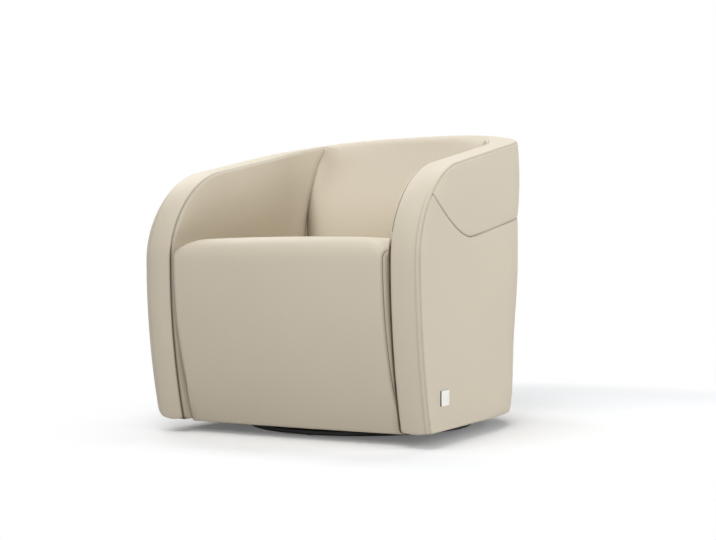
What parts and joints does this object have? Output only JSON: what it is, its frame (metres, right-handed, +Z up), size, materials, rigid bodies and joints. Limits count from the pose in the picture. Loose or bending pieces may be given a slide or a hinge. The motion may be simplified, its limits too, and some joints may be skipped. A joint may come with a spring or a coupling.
{
  "type": "swivel club chair",
  "caption": "Low upholstered leather club chair with a wrapped curved shell and a waterfall seat, turning freely on a round base.",
  "frame": {"origin": "on the floor at the swivel axis, which is within a few millimetres of the middle of the chair's outline", "axes": "+Z up along the swivel axis, -Y the way the sitter faces at rest, +X to the viewer's right when facing the chair's front"},
  "size_m": [0.7078, 0.8162, 0.7333],
  "materials": {
    "leather": "smooth, soft sheen",
    "foam": "open cell foam",
    "timber": "sawn",
    "webbing": "woven elastic",
    "black_base": "satin black",
    "steel": "zinc plated",
    "glide_plastic": "matte",
    "lining": "non-woven",
    "bare_plate": "satin"
  },
  "bodies": {
    "base": {"base_screw_1": "steel", "base_screw_2": "steel", "base_screw_3": "steel", "base_screw_4": "steel", "centre_pin": "steel", "glide_1": "glide_plastic", "glide_2": "glide_plastic", "glide_3": "glide_plastic", "glide_4": "glide_plastic", "glide_5": "glide_plastic", "glide_6": "glide_plastic", "pin_nut": "steel", "pin_washer": "steel", "round_base": "black_base", "swivel_plate_lower": "steel"},
    "ball_cage": {"ball_cage": "steel"},
    "chair": {"back_post_lower_1": "timber", "back_post_lower_2": "timber", "back_post_lower_3": "timber", "back_post_upper_1": "timber", "back_post_upper_2": "timber", "back_post_upper_3": "timber", "back_rail_bottom": "timber", "back_rail_middle": "timber", "back_rail_top": "timber", "back_strap_1": "webbing", "back_strap_2": "webbing", "back_strap_3": "webbing", "back_strap_4": "webbing", "base_board": "timber", "board_bolt_1": "steel", "board_bolt_2": "steel", "board_bolt_3": "steel", "board_bolt_4": "steel", "dust_cover": "lining", "front_board": "timber", "inner_arm_left": "leather", "inner_arm_right": "leather", "inside_back": "leather", "outer_wrap": "leather", "rim_band": "leather", "seat_cleat_left": "timber", "seat_cleat_right": "timber", "seat_cover": "leather", "seat_foam": "foam", "seat_rail_front": "timber", "seat_rail_rear": "timber", "seat_strap_1": "webbing", "seat_strap_2": "webbing", "seat_strap_3": "webbing", "seat_strap_4": "webbing", "seat_strap_5": "webbing", "side_frame_left": "timber", "side_frame_right": "timber", "side_tag": "bare_plate", "swivel_plate_upper": "steel", "upper_outer_panel": "leather"}
  },
  "joints": [
    {"name": "swivel", "type": "hinge", "parent": "base", "child": "chair", "pos_m": [0, 0, 0.027], "axis": [0, 0, 1], "continuous": true},
    {"name": "cage_spin", "type": "hinge", "parent": "base", "child": "ball_cage", "pos_m": [0, 0, 0.027], "axis": [0, 0, 1], "continuous": true}
  ],
  "couplings": [
    {"joint": "cage_spin", "follows": "swivel", "ratio": 0.5}
  ]
}
